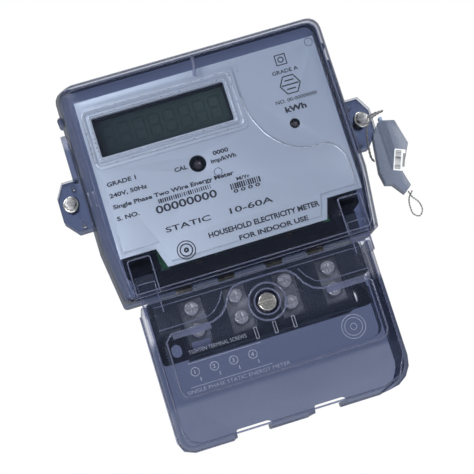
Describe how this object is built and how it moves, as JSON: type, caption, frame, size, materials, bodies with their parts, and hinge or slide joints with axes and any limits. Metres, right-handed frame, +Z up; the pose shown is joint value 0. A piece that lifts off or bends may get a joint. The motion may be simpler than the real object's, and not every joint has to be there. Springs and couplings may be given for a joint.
{
  "type": "static watt-hour meter",
  "caption": "Wall-mounted single-phase static energy meter with a liquid-crystal register, smoky see-through case, hinged terminal cover over plated cable clamps, and a wire seal.",
  "frame": {"origin": "on the flat back of the base, midway between the sides and at the height of the small gate mark just under the register, where the wall touches", "axes": "+Z up the wall, +X to the right of someone facing the meter, +Y into the wall, so the front faces -Y"},
  "size_m": [0.1667, 0.051, 0.1845],
  "materials": {
    "base_plastic": "smoky translucent polycarbonate",
    "clear_cover": "smoky see-through polycarbonate",
    "gasket_rubber": "matte",
    "contact_rubber": "matte",
    "silver_plate": "silver print",
    "black_plastic": "satin",
    "register_glass": "register glass",
    "reflector_film": "matte film",
    "board_laminate": "solder resist",
    "led_resin": "clear tinted resin",
    "zinc_steel": "zinc plated",
    "coil_wrap": "tape",
    "cell_sleeve": "shrink sleeve",
    "capacitor_case": "dipped",
    "chip_resin": "moulded",
    "terminal_brass": "machined",
    "terminal_plate": "nickel plated brass",
    "shunt_alloy": "rolled strip",
    "nickel_plate": "bright nickel plate",
    "seal_plastic": "frosted see-through",
    "rotor_plastic": "moulded",
    "seal_strand": "twisted stainless strand"
  },
  "bodies": {
    "housing": {"base": "base_plastic", "main_cover": "clear_cover", "gasket": "gasket_rubber", "contact_strip_lower": "contact_rubber", "contact_strip_upper": "contact_rubber", "nameplate": "silver_plate", "plate_carrier": "black_plastic", "lcd_frame": "black_plastic", "terminal_block": "black_plastic", "terminal_foot": "black_plastic", "chassis": "black_plastic", "terminal_shroud": "black_plastic", "lcd_glass": "register_glass", "lcd_reflector": "reflector_film", "circuit_board": "board_laminate", "calibration_led": "led_resin", "pulse_led": "led_resin", "board_screw_1": "zinc_steel", "board_screw_2": "zinc_steel", "board_screw_3": "zinc_steel", "board_screw_4": "zinc_steel", "lug_screw_right": "zinc_steel", "supply_transformer": "coil_wrap", "battery": "cell_sleeve", "film_capacitor": "capacitor_case", "varistor": "capacitor_case", "filter_capacitor": "chip_resin", "metering_chip": "chip_resin", "display_chip": "chip_resin", "terminal_bar_1": "terminal_plate", "terminal_bar_2": "terminal_plate", "terminal_bar_3": "terminal_plate", "terminal_bar_4": "terminal_plate", "neutral_link": "terminal_brass", "sense_pin_live": "terminal_brass", "sense_pin_neutral": "terminal_brass", "screw_insert": "terminal_brass", "lug_insert_left": "terminal_brass", "lug_insert_right": "terminal_brass", "shunt": "shunt_alloy", "lug_eyelet_left": "nickel_plate", "lug_eyelet_right": "nickel_plate", "seal_wire": "seal_strand"},
    "terminal_cover": {"terminal_cover": "clear_cover"},
    "screw_carrier": {"screw_clip": "zinc_steel"},
    "cover_screw": {"cover_screw": "nickel_plate"},
    "left_lug_screw": {"lug_screw_left": "zinc_steel"},
    "seal": {"seal_body": "seal_plastic", "seal_wire_tail": "seal_strand"},
    "seal_rotor": {"seal_rotor": "rotor_plastic"},
    "clamp_screw_1a_body": {"clamp_screw_1a": "nickel_plate"},
    "clamp_screw_1b_body": {"clamp_screw_1b": "nickel_plate"},
    "clamp_screw_2a_body": {"clamp_screw_2a": "nickel_plate"},
    "clamp_screw_2b_body": {"clamp_screw_2b": "nickel_plate"},
    "clamp_screw_3a_body": {"clamp_screw_3a": "nickel_plate"},
    "clamp_screw_3b_body": {"clamp_screw_3b": "nickel_plate"},
    "clamp_screw_4a_body": {"clamp_screw_4a": "nickel_plate"},
    "clamp_screw_4b_body": {"clamp_screw_4b": "nickel_plate"}
  },
  "joints": [
    {"name": "terminal_cover_swing", "type": "hinge", "parent": "housing", "child": "terminal_cover", "pos_m": [0, -0.044, -0.0345], "axis": [-1, 0, 0], "range_deg": [0, 100]},
    {"name": "cover_screw_drive", "type": "slide", "parent": "terminal_cover", "child": "screw_carrier", "axis": [0, 1, 0], "range_m": [0, 0.004]},
    {"name": "cover_screw_turn", "type": "hinge", "parent": "screw_carrier", "child": "cover_screw", "pos_m": [0, -0.04, -0.059], "axis": [0, 1, 0], "continuous": true},
    {"name": "left_lug_screw_turn", "type": "hinge", "parent": "housing", "child": "left_lug_screw", "pos_m": [-0.0728, -0.02, 0.015], "axis": [0, 1, 0], "continuous": true},
    {"name": "seal_swing", "type": "hinge", "parent": "housing", "child": "seal", "pos_m": [0.0709, -0.03, -0.0083], "axis": [0, 1, 0], "range_deg": [0, 22]},
    {"name": "seal_rotor_turn", "type": "hinge", "parent": "seal", "child": "seal_rotor", "pos_m": [0.0796, -0.0297, 0], "axis": [0, 0, 1], "continuous": true},
    {"name": "clamp_screw_1a_turn", "type": "hinge", "parent": "housing", "child": "clamp_screw_1a_body", "pos_m": [-0.033, -0.03, -0.0505], "axis": [0, 1, 0], "continuous": true},
    {"name": "clamp_screw_1b_turn", "type": "hinge", "parent": "housing", "child": "clamp_screw_1b_body", "pos_m": [-0.033, -0.03, -0.061], "axis": [0, 1, 0], "continuous": true},
    {"name": "clamp_screw_2a_turn", "type": "hinge", "parent": "housing", "child": "clamp_screw_2a_body", "pos_m": [-0.012, -0.03, -0.0505], "axis": [0, 1, 0], "continuous": true},
    {"name": "clamp_screw_2b_turn", "type": "hinge", "parent": "housing", "child": "clamp_screw_2b_body", "pos_m": [-0.012, -0.03, -0.061], "axis": [0, 1, 0], "continuous": true},
    {"name": "clamp_screw_3a_turn", "type": "hinge", "parent": "housing", "child": "clamp_screw_3a_body", "pos_m": [0.012, -0.03, -0.0505], "axis": [0, 1, 0], "continuous": true},
    {"name": "clamp_screw_3b_turn", "type": "hinge", "parent": "housing", "child": "clamp_screw_3b_body", "pos_m": [0.012, -0.03, -0.061], "axis": [0, 1, 0], "continuous": true},
    {"name": "clamp_screw_4a_turn", "type": "hinge", "parent": "housing", "child": "clamp_screw_4a_body", "pos_m": [0.033, -0.03, -0.0505], "axis": [0, 1, 0], "continuous": true},
    {"name": "clamp_screw_4b_turn", "type": "hinge", "parent": "housing", "child": "clamp_screw_4b_body", "pos_m": [0.033, -0.03, -0.061], "axis": [0, 1, 0], "continuous": true}
  ]
}
